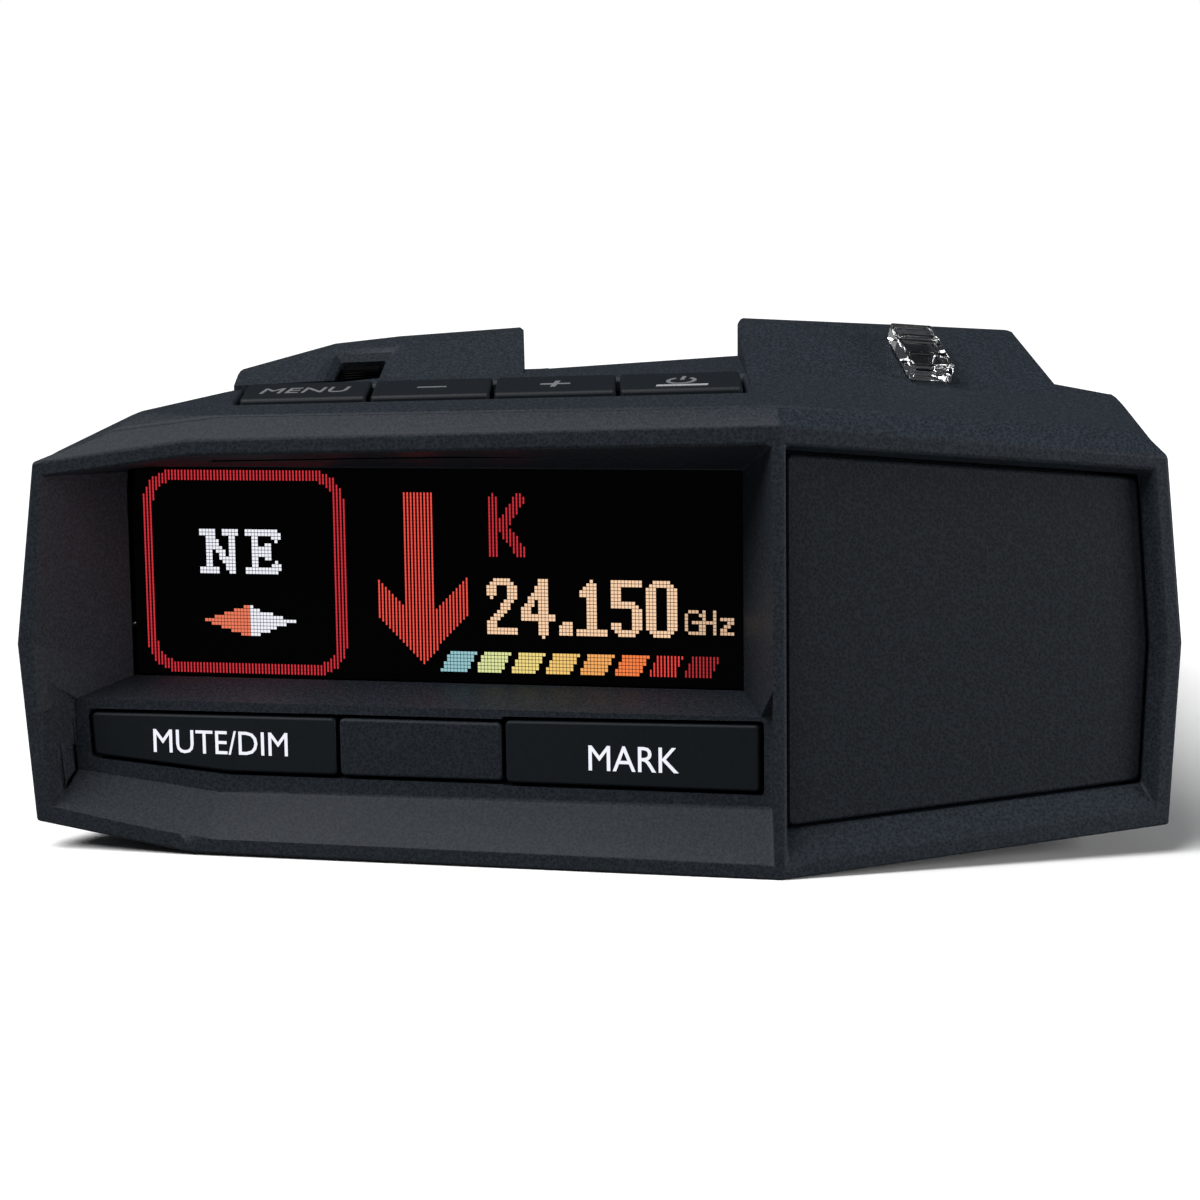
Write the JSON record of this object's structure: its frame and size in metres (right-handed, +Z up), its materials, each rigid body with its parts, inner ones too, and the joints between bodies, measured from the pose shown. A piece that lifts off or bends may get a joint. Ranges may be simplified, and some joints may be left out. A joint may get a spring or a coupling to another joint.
{
  "type": "radar detector",
  "caption": "Dash-top or windshield radar detector with an angled graphic display, press keys, side radome panel and a top bracket channel.",
  "frame": {"origin": "under the middle of the bounding box, on the plane that the flat underside rests on", "axes": "+Z up, -Y towards the driver (display end), +Y towards the road, +X to the right as seen by the driver"},
  "size_m": [0.088, 0.115, 0.0399],
  "materials": {
    "case_plastic": "fine moulded grain, charcoal black",
    "key_plastic": "smooth satin moulding, black",
    "smoked_plastic": "polished smoked acrylic",
    "clear_plastic": "polished clear polycarbonate",
    "display_glass": "glass over a black emissive panel",
    "circuit_board": "green solder mask",
    "bare_metal": "as cast",
    "tinned_steel": "tinned",
    "black_steel": "black oxide",
    "ceramic": "fired ceramic",
    "speaker_cone": "pressed paper",
    "label_film": "silver polyester film"
  },
  "bodies": {
    "root": {"ambient_light_sensor": "display_glass", "audio_jack": "key_plastic", "case_screw_front_left": "black_steel", "case_screw_front_right": "black_steel", "case_screw_road_left": "black_steel", "case_screw_road_right": "black_steel", "centre_key_blank": "key_plastic", "display_driver_board": "circuit_board", "display_window": "smoked_plastic", "front_bezel": "case_plastic", "front_horn_antenna": "bare_metal", "front_key_board": "circuit_board", "gps_antenna": "ceramic", "laser_light_guide": "clear_plastic", "laser_photodiode": "display_glass", "laser_receiver_board": "circuit_board", "laser_receiver_lens": "clear_plastic", "latch_retainer": "key_plastic", "latch_spring": "tinned_steel", "light_sensor_window": "smoked_plastic", "lower_housing": "case_plastic", "main_board": "circuit_board", "mark_switch": "tinned_steel", "menu_dome": "tinned_steel", "mute_dim_switch": "tinned_steel", "oled_module": "display_glass", "power_dome": "tinned_steel", "power_jack": "key_plastic", "processor_shield": "tinned_steel", "rating_label_blank": "label_film", "rear_horn_antenna": "bare_metal", "rear_laser_sensor": "display_glass", "rf_board": "circuit_board", "rf_shield_can": "tinned_steel", "road_lens": "smoked_plastic", "side_radome_panel": "case_plastic", "speaker": "speaker_cone", "top_key_board": "circuit_board", "upper_housing": "case_plastic", "usb_port": "tinned_steel", "volume_down_dome": "tinned_steel", "volume_up_dome": "tinned_steel"},
    "menu_button_body": {"menu_button": "key_plastic"},
    "volume_down_button_body": {"volume_down_button": "key_plastic"},
    "volume_up_button_body": {"volume_up_button": "key_plastic"},
    "power_button_body": {"power_button": "key_plastic"},
    "mute_dim_button_body": {"mute_dim_button": "key_plastic"},
    "mark_button_body": {"mark_button": "key_plastic"},
    "bracket_latch_body": {"bracket_latch": "key_plastic"}
  },
  "joints": [
    {"name": "menu_press", "type": "slide", "parent": "root", "child": "menu_button_body", "axis": [0.0543, 0.1562, -0.9862], "range_m": [0, 0.00045], "stiffness_N_per_m": 1500},
    {"name": "volume_down_press", "type": "slide", "parent": "root", "child": "volume_down_button_body", "axis": [0.0543, 0.1562, -0.9862], "range_m": [0, 0.00045], "stiffness_N_per_m": 1500},
    {"name": "volume_up_press", "type": "slide", "parent": "root", "child": "volume_up_button_body", "axis": [0.0543, 0.1562, -0.9862], "range_m": [0, 0.00045], "stiffness_N_per_m": 1500},
    {"name": "power_press", "type": "slide", "parent": "root", "child": "power_button_body", "axis": [0.0543, 0.1562, -0.9862], "range_m": [0, 0.00045], "stiffness_N_per_m": 1500},
    {"name": "mute_dim_press", "type": "slide", "parent": "root", "child": "mute_dim_button_body", "axis": [0.225, 0.9744, 0], "range_m": [0, 0.0005], "stiffness_N_per_m": 1500},
    {"name": "mark_press", "type": "slide", "parent": "root", "child": "mark_button_body", "axis": [0.225, 0.9744, 0], "range_m": [0, 0.0005], "stiffness_N_per_m": 1500},
    {"name": "latch_press", "type": "slide", "parent": "root", "child": "bracket_latch_body", "axis": [0, 0, -1], "range_m": [0, 0.0015], "stiffness_N_per_m": 1200, "deforming": ["latch_spring"]}
  ]
}
